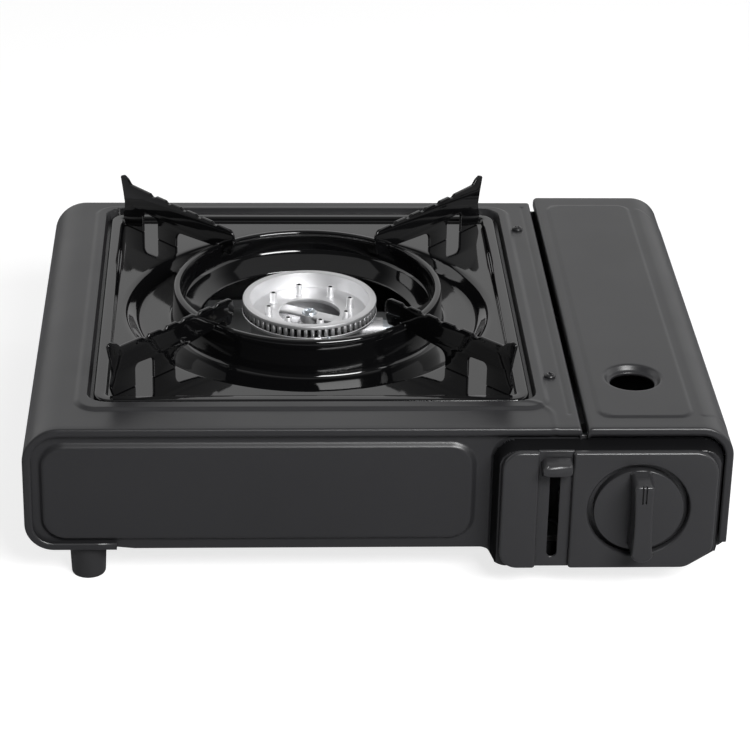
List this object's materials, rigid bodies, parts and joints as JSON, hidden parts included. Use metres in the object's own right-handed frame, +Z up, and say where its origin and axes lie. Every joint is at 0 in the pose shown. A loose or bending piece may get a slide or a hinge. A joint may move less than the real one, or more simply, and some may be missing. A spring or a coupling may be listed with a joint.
{
  "type": "butane cassette stove",
  "caption": "Butane cassette stove of charcoal pressed steel with an enamelled drip pan and pot supports, a hinged canister lid, and a front panel with ignition knob and lock lever.",
  "frame": {"origin": "centre of the overall bounding box, on the table under the feet", "axes": "+X to the right along the width, +Y from the control panel to the rear, +Z up"},
  "size_m": [0.34, 0.3036, 0.1102],
  "materials": {
    "deck_enamel": "satin charcoal paint on pressed steel",
    "casing_enamel": "satin black paint on pressed steel",
    "pan_enamel": "gloss black vitreous enamel",
    "galvanised_steel": "dull galvanised sheet",
    "plated_steel": "bright zinc plating",
    "black_screw": "black oxide",
    "burner_casting": "fine as-cast and machined",
    "cup_casting": "dull as-cast",
    "brass_fitting": "machined",
    "black_plastic": "fine spark texture",
    "pale_plastic": "plain moulded",
    "rubber_foot": "matt",
    "lead_jacket": "smooth",
    "white_ceramic": "glazed, stands in for ceramic"
  },
  "bodies": {
    "stove_body": {"body_shell": "deck_enamel", "front_panel": "casing_enamel", "rear_panel": "casing_enamel", "base_plate": "galvanised_steel", "canister_tray": "galvanised_steel", "partition": "galvanised_steel", "foot_front_left": "rubber_foot", "foot_front_right": "rubber_foot", "foot_rear_left": "rubber_foot", "foot_rear_right": "rubber_foot", "foot_screws": "plated_steel", "deck_screws": "black_screw", "burner_bracket": "galvanised_steel", "burner_cup": "cup_casting", "burner_head": "burner_casting", "burner_screw": "plated_steel", "cup_screws": "plated_steel", "mixing_tube": "plated_steel", "air_shutter": "plated_steel", "gas_jet": "brass_fitting", "gas_pipe": "plated_steel", "electrode_insulator": "white_ceramic", "electrode_rod": "plated_steel", "electrode_clip": "plated_steel", "ignition_lead": "lead_jacket", "piezo_igniter": "black_plastic", "regulator_body": "cup_casting", "regulator_cover": "plated_steel", "regulator_screws": "plated_steel", "inlet_socket": "brass_fitting", "inlet_seal": "lead_jacket", "control_panel": "black_plastic", "lever_bracket": "galvanised_steel", "yoke_guides": "galvanised_steel", "hinge_brackets": "galvanised_steel", "hinge_rod": "plated_steel"},
    "canister_lid": {"canister_lid": "deck_enamel", "lid_hinge_leaves": "galvanised_steel"},
    "drip_pan": {"drip_pan": "pan_enamel", "pot_support_front_left": "pan_enamel", "pot_support_front_right": "pan_enamel", "pot_support_rear_left": "pan_enamel", "pot_support_rear_right": "pan_enamel"},
    "control_knob": {"control_knob": "black_plastic", "knob_shaft": "plated_steel", "ignition_cam": "pale_plastic"},
    "piezo_plunger": {"piezo_plunger": "pale_plastic"},
    "lock_lever": {"lever_arm": "plated_steel", "lever_knob": "black_plastic", "lever_shaft": "plated_steel", "lever_crank": "plated_steel"},
    "canister_yoke": {"canister_yoke": "galvanised_steel"}
  },
  "joints": [
    {"name": "lid_hinge", "type": "hinge", "parent": "stove_body", "child": "canister_lid", "pos_m": [0.1674, 0.0113, 0.0202], "axis": [0, 1, 0], "range_deg": [0, 95]},
    {"name": "pan_lift", "type": "slide", "parent": "stove_body", "child": "drip_pan", "axis": [0, 0, 1], "range_m": [0, 0.06]},
    {"name": "knob_turn", "type": "hinge", "parent": "stove_body", "child": "control_knob", "pos_m": [0.124, -0.1377, 0.046], "axis": [0, -1, 0], "range_deg": [0, 120]},
    {"name": "igniter_stroke", "type": "slide", "parent": "stove_body", "child": "piezo_plunger", "axis": [-1, 0, 0], "range_m": [0, 0.0034]},
    {"name": "lever_turn", "type": "hinge", "parent": "stove_body", "child": "lock_lever", "pos_m": [0.0834, -0.08134, 0.0455], "axis": [1, 0, 0], "range_deg": [0, 47]},
    {"name": "yoke_slide", "type": "slide", "parent": "stove_body", "child": "canister_yoke", "axis": [0, -1, 0], "range_m": [0, 0.006]}
  ],
  "couplings": [
    {"joint": "igniter_stroke", "follows": "knob_turn", "m_per_rad": 0.001622},
    {"joint": "yoke_slide", "follows": "lever_turn", "m_per_rad": 0.00729}
  ]
}
